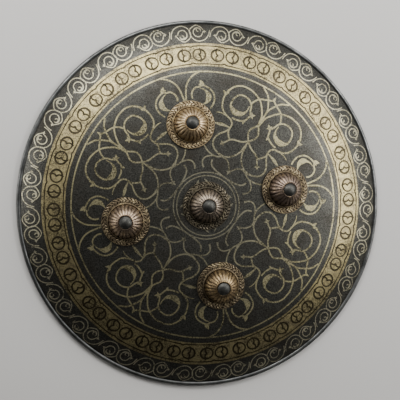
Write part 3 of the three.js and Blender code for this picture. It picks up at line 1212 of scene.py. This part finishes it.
    def chasing(self, distance: float, angle: float, drift: float) -> tuple[float, float]:
        """How far the flange's wreath stands out at a point: leaves slanting off a thin stem.

        Args:
            distance: The point's distance from the boss's axis.
            angle: Its angle about the axis.
            drift: How far the hand's unevenness goes there, from -1 to 1.

        Returns:
            The rise in mm, which may be below 0, and the relief from 0 to 1.
        """
        across = (distance - self.bead_outer) / (self.flange_radius - self.bead_outer)
        reliefs = [
            height * math.exp(-((across - middle) / width) ** 2) for middle, width, height in self.ridges
        ]
        for side in (-1, 1):
            out = side * (across - self.ridges[0][0])
            slant = self.leaf_slant * out - self.leaf_stagger * side - self.leaf_wander * drift
            along = 2 * abs((self.leaf_count * angle / math.tau - slant) % 1 - 0.5)
            blade = 1 - (along / self.leaf_breadth) ** 2 - (out / self.leaf_reach - 1) ** 2
            reliefs.append(math.sqrt(max(0.0, blade)) * (self.leaf_relief - self.leaf_wear * drift))
        relief = min(1.0, max(reliefs))
        return self.chasing_depth * (relief - self.chasing_ground), relief

    def shell(self, plate: Plate) -> bmesh.types.BMesh:
        """Spins the boss and cuts its flutes and foliage.

        Args:
            plate: The plate that it sits on.

        Returns:
            The mesh in mm, with the boss's own frame at its seat.
        """
        bm = spun(self.profile(plate), self.steps, ring=True)
        layer = bm.verts.layers.float.new("relief")
        edge_start = self.flange_radius - self.edge_chamfer / 2
        # The hollow's points lie within the dome by more than this share, and stay as they are
        dome_start = 0.97
        for vert in bm.verts:
            distance = math.hypot(vert.co.x, vert.co.y)
            angle = math.atan2(vert.co.y, vert.co.x)
            rise_here = vert.co.z - self.flange_top
            drift = max(-1.0, min(1.0, self.wander_gain * noise.noise(vert.co / self.wander)))
            on_dome = math.hypot(distance / self.dome_radius, rise_here / self.dome_rise) > dome_start
            vert[layer] = self.plain_relief
            if distance > self.bead_outer - WELD and vert.co.z > self.edge_thickness:
                rise, relief = self.chasing(distance, angle, drift)
                vert.co.z += rise
                vert[layer] = relief
            elif distance > edge_start:
                scallop = self.scallop_depth * math.sin(self.leaf_count * angle / 2) ** 2
                vert.co.xy *= (distance - scallop) / distance
            elif on_dome and 0 < rise_here < self.seat_rise and distance <= self.dome_radius:
                cut, relief = self.flute(distance, angle, vert.co.z, drift)
                vert.co.xy *= (distance - cut) / distance
                vert[layer] = relief
            elif self.dome_radius < distance < self.bead_outer and rise_here > 0:
                vert[layer] = self.bead_relief * min(1.0, rise_here / self.bead_rise)
        for face in bm.faces:
            centre = face.calc_center_median()
            face.material_index = 1 if math.hypot(centre.x, centre.y) > self.dome_radius else 0
        return bm

    def build_all(self, plate: Plate) -> None:
        """Places a boss in the middle and on each arm of the cross, each turned a few flutes."""
        flange = GILT_FLANGE.material()
        finishes = {
            "centre": [GREY_DOME.material(), DARK_FLANGE.material()],
            "right": [DULL_DOME.material(), flange],
            # The top boss takes the lighter copies: a painted highlight for the stronger light at the top of
            # the shield
            "top": [PAINTED_LIGHT_DOME.material(), PAINTED_LIGHT_FLANGE.material()],
            "left": [COPPER_DOME.material(), flange],
            "bottom": [GILT_DOME.material(), flange],
        }
        seats = {"centre": plate.seat(0, 0)}
        for place, azimuth in OUTER_PLACES.items():
            seats[place] = plate.seat(self.ring_radius, azimuth)
        pattern = self.shell(plate)
        for i, (place, seat) in enumerate(seats.items()):
            bm = pattern.copy()
            turn = Matrix.Rotation(math.tau * self.turned_flutes * i / self.flute_count, 4, "Z")
            bmesh.ops.transform(bm, matrix=seat @ turn, verts=bm.verts)
            finish(
                bm, f"fluted_boss_{place}", finishes[place], (f"boss_{place}",), self.crease,
            )
        pattern.free()


@dataclass(frozen=True)
class Fastenings:
    """The bolts through the bosses, their roves behind the plate and the strap rings."""

    head_diameter: float = 13.6
    head_rise: float = 3.4
    shank_diameter: float = 4.4
    collar_diameter: float = 8.4
    collar_thickness: float = 1.5
    eye_wire_diameter: float = 3.0
    eye_hole_diameter: float = 6.4
    rove_diameter: float = 16.0
    rove_thickness: float = 1.5
    tail_diameter: float = 9.0
    tail_thickness: float = 1.8
    neck_fillet: tuple[float, float] = (0.4, 0.3)
    ring_mean_diameter: float = 21.0
    ring_wire_diameter: float = 3.2
    seat_gap: float = 0.3
    soften: float = 0.35
    turn_steps: int = 64
    head_rows: int = 14
    tail_rows: int = 10
    eye_steps: tuple[int, int] = (48, 16)
    ring_steps: tuple[int, int] = (72, 20)

    def rove_top(self, plate: Plate) -> float:
        """The height of the rove's upper face in a bolt's own frame."""
        crown = plate.crown_radius
        drop = crown - math.sqrt(crown ** 2 - (self.rove_diameter / 2) ** 2)
        return -plate.thickness - drop - self.seat_gap

    def collar_top(self, plate: Plate) -> float:
        """The height of the collar's upper face in a bolt's own frame."""
        return self.rove_top(plate) - self.rove_thickness - self.seat_gap

    def eye_centre(self, plate: Plate) -> float:
        """The height of the eye's centre in a bolt's own frame."""
        eye_mean = (self.eye_hole_diameter + self.eye_wire_diameter) / 2
        return self.collar_top(plate) - self.collar_thickness - eye_mean

    def head_profile(self, boss: Boss) -> list[tuple[float, float]]:
        """The head's section, from under its edge over the dome to the axis."""
        radius, rise = self.head_diameter / 2, self.head_rise
        low = boss.head_seat_height + self.seat_gap
        curve = (radius ** 2 + rise ** 2) / (2 * rise)
        half = math.asin((radius - self.soften / 2) / curve)
        return [
            (self.shank_diameter / 2, low),
            (radius - self.soften, low),
            (radius, low + self.soften),
            *arc(Vector((0, low + rise - curve)), curve, half, 0, self.head_rows),
        ]

    def bolt(self, plate: Plate, boss: Boss) -> bmesh.types.BMesh:
        """A bolt with its eye, in its own frame."""
        top, low = self.collar_top(plate), self.collar_top(plate) - self.collar_thickness
        radius, soften, neck = self.collar_diameter / 2, self.soften, self.eye_wire_diameter / 2
        fillet_out, fillet_down = self.neck_fillet
        bm = spun([
            (0, low - neck), (neck, low - neck), (neck + fillet_out, low - fillet_down),
            (radius - soften, low), (radius, low + soften), (radius, top - soften),
            (radius - soften, top), (self.shank_diameter / 2, top), *self.head_profile(boss),
        ], self.turn_steps)
        eye = wire_ring((self.eye_hole_diameter + self.eye_wire_diameter) / 2, neck, *self.eye_steps)
        bmesh.ops.translate(eye, vec=(0, 0, self.eye_centre(plate)), verts=eye.verts)
        join_in(bm, eye)
        return bm

    def rivet(self, plate: Plate, boss: Boss) -> bmesh.types.BMesh:
        """The centre rivet with its hammered tail, in its own frame."""
        top = self.collar_top(plate)
        radius, depth = self.tail_diameter / 2, self.tail_thickness
        angles = [math.pi / 2 * i / self.tail_rows for i in range(self.tail_rows + 1)]
        tail = [(radius * math.sin(a), top - depth * math.cos(a)) for a in angles]
        return spun([*tail, (self.shank_diameter / 2, top), *self.head_profile(boss)], self.turn_steps)

    def rove(self, plate: Plate, boss: Boss) -> bmesh.types.BMesh:
        """A rove with softened edges, in a bolt's own frame."""
        top = self.rove_top(plate)
        low, outer, soften = top - self.rove_thickness, self.rove_diameter / 2, self.soften
        return spun([
            (boss.bore_radius, low), (outer - 2 * soften, low), (outer - soften, low + 0.3 * soften),
            (outer, low + soften), (outer, top - soften), (outer - soften, top), (boss.bore_radius, top),
        ], self.turn_steps, ring=True)

    def build_all(self, plate: Plate, boss: Boss) -> None:
        """Builds the rivet, the bolts, the roves and the strap rings in their places."""
        iron = [FORGED_IRON.material()]
        capped = [*iron, CAP_STEEL.material()]
        rivet, rove, seat = self.rivet(plate, boss), self.rove(plate, boss), plate.seat(0, 0)
        self.place(rivet, seat, "capped_rivet_centre", "rivet_centre", capped)
        self.place(rove, seat, "iron_rove_centre", "rove_centre", iron)
        for place, azimuth in OUTER_PLACES.items():
            seat = plate.seat(boss.ring_radius, azimuth)
            bolt, rove = self.bolt(plate, boss), self.rove(plate, boss)
            self.place(bolt, seat, f"capped_eye_bolt_{place}", f"ring_bolt_{place}", capped)
            self.place(rove, seat, f"iron_rove_{place}", f"rove_{place}", iron)
            eye = seat @ Vector((0, 0, self.eye_centre(plate)))
            drop = (self.eye_hole_diameter - self.ring_wire_diameter) / 2 - self.seat_gap
            hang = Matrix.Translation(eye - Vector((0, 0, drop + self.ring_mean_diameter / 2)))
            turn = Matrix.Rotation(math.radians(azimuth + 90), 4, "Z")
            ring = wire_ring(self.ring_mean_diameter / 2, self.ring_wire_diameter / 2, *self.ring_steps)
            self.place(ring, hang @ turn, f"iron_strap_ring_{place}", f"strap_ring_{place}", iron)

    def place(self, bm: bmesh.types.BMesh, seat: Matrix, name: str, node: str,
              finishes: list[Material]) -> None:
        """Moves a fastening to its place, with its head in the second finish if it has one."""
        if len(finishes) > 1:
            for face in bm.faces:
                face.material_index = 1 if face.calc_center_median().z > 0 else 0
        bmesh.ops.transform(bm, matrix=seat, verts=bm.verts)
        finish(bm, name, finishes, (node,))


@dataclass(frozen=True)
class Softbox:
    """A white studio light over the shield, in metres and degrees."""

    name: str
    azimuth: float
    elevation: float
    distance: float
    width: float
    height: float
    watts: float

    def build(self) -> None:
        """Hangs the light so that it faces the shield."""
        light = bpy.data.lights.new(self.name, "AREA")
        light.shape = "RECTANGLE"
        light.size = self.width
        light.size_y = self.height
        light.energy = self.watts
        lamp = bpy.data.objects.new(self.name, light)
        lamp.location = direction(self.azimuth, self.elevation) * self.distance
        lamp.rotation_euler = (-lamp.location).to_track_quat("-Z", "Y").to_euler()
        bpy.context.scene.collection.objects.link(lamp)


def direction(azimuth: float, elevation: float) -> Vector:
    """The unit vector towards an azimuth and an elevation in degrees."""
    a, e = math.radians(azimuth), math.radians(elevation)
    return Vector((math.cos(a) * math.cos(e), math.sin(a) * math.cos(e), math.sin(e)))


@dataclass(frozen=True)
class Studio:
    """The floor, the lights and the camera at the photograph's angle, in metres and degrees."""

    floor_size: float = 6.0
    world: str = "6E6E6E"
    world_strength: float = 0.36
    target: tuple[float, float, float] = (-0.0016, 0.0053, 0.020)
    camera_azimuth: float = 153.98
    camera_elevation: float = 80.15
    camera_distance: float = 1.972
    picture_top_azimuth: float = 79.23
    lens: float = 163.8
    softboxes: tuple[Softbox, ...] = (
        Softbox("key_softbox", 96.0, 39.0, 0.95, 0.95, 0.45, 12.5),
        Softbox("right_softbox", 10.0, 34.0, 1.2, 1.3, 0.6, 20.0),
        Softbox("left_softbox", 158.0, 11.0, 0.75, 0.4, 0.2, 1.35),
        Softbox("overhead_softbox", 334.0, 80.0, 2.4, 1.0, 1.0, 2.0),
    )

    def build(self) -> None:
        """Sets the whole studio up."""
        self.lay_floor()
        world = bpy.data.worlds.new("studio_air")
        world.use_nodes = True
        background = world.node_tree.nodes["Background"]
        background.inputs["Color"].default_value = linear_colour(self.world)
        background.inputs["Strength"].default_value = self.world_strength
        bpy.context.scene.world = world
        for softbox in self.softboxes:
            softbox.build()
        self.place_camera()

    def lay_floor(self) -> None:
        """Lays the pale floor under the rim."""
        bm = bmesh.new()
        bmesh.ops.create_grid(bm, x_segments=4, y_segments=4, size=self.floor_size / 2)
        mesh = bpy.data.meshes.new("studio_floor")
        bm.to_mesh(mesh)
        bm.free()
        mesh.materials.append(StudioPaint().material())
        floor = bpy.data.objects.new("studio_floor", mesh)
        bpy.context.scene.collection.objects.link(floor)

    def place_camera(self) -> None:
        """Puts the camera where the photograph was taken from."""
        target = Vector(self.target)
        away = direction(self.camera_azimuth, self.camera_elevation)
        right = (-away).cross(direction(self.picture_top_azimuth, 0)).normalized()
        up = away.cross(right)
        data = bpy.data.cameras.new("photo_camera")
        data.lens = self.lens
        data.sensor_width = 36.0
        data.clip_end = 50.0
        camera = bpy.data.objects.new("photo_camera", data)
        camera.matrix_world = Matrix.Translation(target + away * self.camera_distance) @ Matrix(
            (right, up, away)
        ).transposed().to_4x4()
        bpy.context.scene.collection.objects.link(camera)
        bpy.context.scene.camera = camera


def main() -> None:
    """Builds the shield, piece by piece, and the studio round it."""
    logging.basicConfig(level=logging.INFO, format="%(name)s: %(message)s")
    Studio().build()
    plate, boss = Plate(), Boss()
    plate.build()
    Arabesque().build(plate, RUBBED_GOLD.material())
    ScrollBorder().build(plate, PALE_GOLD.material())
    band = RoundelBand()
    band.build_gold(plate, BAND_GOLD.material())
    band.build_lines(plate, BARE_LINE.material())
    boss.build_all(plate)
    Fastenings().build_all(plate, boss)


if __name__ == "__main__":
    main()
